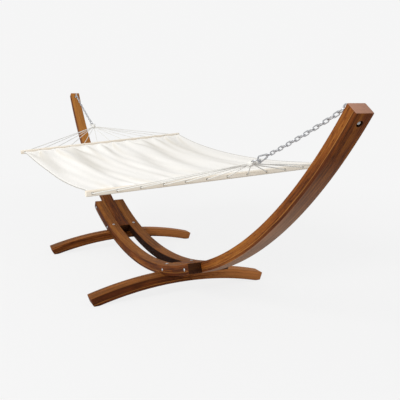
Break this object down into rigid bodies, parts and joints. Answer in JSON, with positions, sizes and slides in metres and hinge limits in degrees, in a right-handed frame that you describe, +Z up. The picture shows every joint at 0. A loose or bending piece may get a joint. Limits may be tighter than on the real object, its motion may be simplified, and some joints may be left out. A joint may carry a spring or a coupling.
{
  "type": "hammock with stand",
  "caption": "Curved laminated-wood stand on arched cross feet that holds a flat canvas hammock bed by spreader bars, corded harnesses, snap hooks and chains.",
  "frame": {"origin": "on the floor, under the middle of the stand", "axes": "+X along the stand towards the front arm, +Y across it, +Z up"},
  "size_m": [4.2122, 1.3994, 1.1987],
  "materials": {
    "stained_wood": "laminated softwood in a translucent red-brown stain, satin",
    "bare_wood": "sanded pale hardwood, unvarnished",
    "zinc_steel": "zinc-plated steel",
    "canvas": "plain-weave cream cotton canvas",
    "cord": "twisted off-white cord"
  },
  "bodies": {
    "stand": {"rail_left": "stained_wood", "rail_right": "stained_wood", "arm_front": "stained_wood", "arm_rear": "stained_wood", "foot_front": "stained_wood", "foot_rear": "stained_wood", "foot_front_left_bolt": "zinc_steel", "foot_front_left_washer": "zinc_steel", "foot_front_left_nut": "zinc_steel", "foot_front_right_bolt": "zinc_steel", "foot_front_right_washer": "zinc_steel", "foot_front_right_nut": "zinc_steel", "foot_rear_left_bolt": "zinc_steel", "foot_rear_left_washer": "zinc_steel", "foot_rear_left_nut": "zinc_steel", "foot_rear_right_bolt": "zinc_steel", "foot_rear_right_washer": "zinc_steel", "foot_rear_right_nut": "zinc_steel", "splice_front_inner_bolt": "zinc_steel", "splice_front_inner_washer": "zinc_steel", "splice_front_inner_nut": "zinc_steel", "splice_front_outer_bolt": "zinc_steel", "splice_front_outer_washer": "zinc_steel", "splice_front_outer_nut": "zinc_steel", "splice_rear_inner_bolt": "zinc_steel", "splice_rear_inner_washer": "zinc_steel", "splice_rear_inner_nut": "zinc_steel", "splice_rear_outer_bolt": "zinc_steel", "splice_rear_outer_washer": "zinc_steel", "splice_rear_outer_nut": "zinc_steel", "eye_bolt_front": "zinc_steel", "eye_washer_front": "zinc_steel", "eye_nut_front": "zinc_steel", "eye_bolt_rear": "zinc_steel", "eye_washer_rear": "zinc_steel", "eye_nut_rear": "zinc_steel"},
    "suspension": {"chain_front": "zinc_steel", "chain_rear": "zinc_steel", "snap_hook_front": "zinc_steel", "snap_hook_rear": "zinc_steel", "ring_front": "zinc_steel", "ring_rear": "zinc_steel"},
    "bed": {"harness_front": "cord", "harness_rear": "cord", "spreader_bar_front": "bare_wood", "spreader_bar_rear": "bare_wood", "end_hem_front": "canvas", "end_hem_rear": "canvas", "canvas_bed": "canvas"},
    "gate_front": {"hook_gate_front": "zinc_steel"},
    "gate_rear": {"hook_gate_rear": "zinc_steel"}
  },
  "joints": [
    {"name": "bed_swing", "type": "hinge", "parent": "stand", "child": "suspension", "pos_m": [0, 0, 1.17473], "axis": [1, 0, 0], "range_deg": [-20, 20]},
    {"name": "bed_roll", "type": "hinge", "parent": "suspension", "child": "bed", "pos_m": [0, 0, 0.91241], "axis": [1, 0, 0], "range_deg": [-14, 14]},
    {"name": "gate_front_open", "type": "hinge", "parent": "suspension", "child": "gate_front", "pos_m": [1.49786, 0, 0.94149], "axis": [0, 1, 0], "range_deg": [0, 20], "stiffness_Nm_per_rad": 0.2, "springref_deg": -8.59},
    {"name": "gate_rear_open", "type": "hinge", "parent": "suspension", "child": "gate_rear", "pos_m": [-1.49786, 0, 0.94149], "axis": [0, -1, 0], "range_deg": [0, 20], "stiffness_Nm_per_rad": 0.2, "springref_deg": -8.59}
  ]
}
